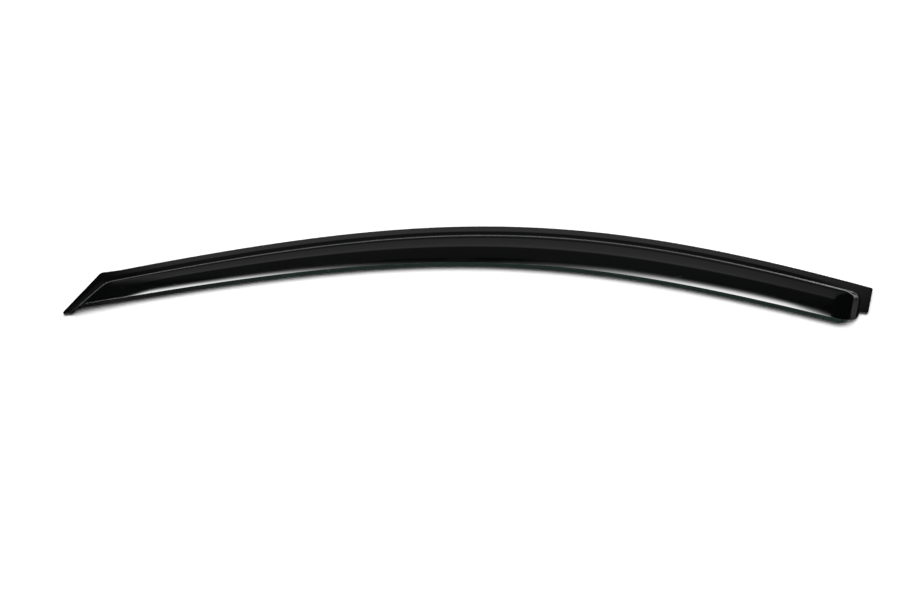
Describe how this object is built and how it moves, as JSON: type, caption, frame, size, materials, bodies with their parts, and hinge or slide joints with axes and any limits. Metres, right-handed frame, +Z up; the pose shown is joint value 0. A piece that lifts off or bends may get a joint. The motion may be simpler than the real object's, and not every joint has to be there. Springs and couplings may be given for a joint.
{
  "type": "window rain deflector",
  "caption": "Long curved smoked acrylic visor with a flat taped flange, a stepped crest, a crowned blade, a slanted front end and a closed rear end with a flange tab.",
  "frame": {"origin": "middle of the part's box in X and Y, at the surface that the liners rest on", "axes": "+X from the front end to the rear end, +Y towards the taped top edge, +Z up out of the glossy outer face, as the part lies face up"},
  "size_m": [0.9782, 0.1646, 0.0138],
  "materials": {
    "smoked_acrylic": "thermoformed smoked acrylic, deep black gloss, teal where the cut edge shows",
    "foam_tape": "matt dark grey acrylic foam tape",
    "release_liner": "satin red release film"
  },
  "bodies": {
    "root": {"visor": "smoked_acrylic", "top_tape": "foam_tape", "front_tape": "foam_tape", "rear_tape": "foam_tape", "top_liner": "release_liner", "front_liner": "release_liner", "rear_liner": "release_liner"}
  },
  "joints": []
}
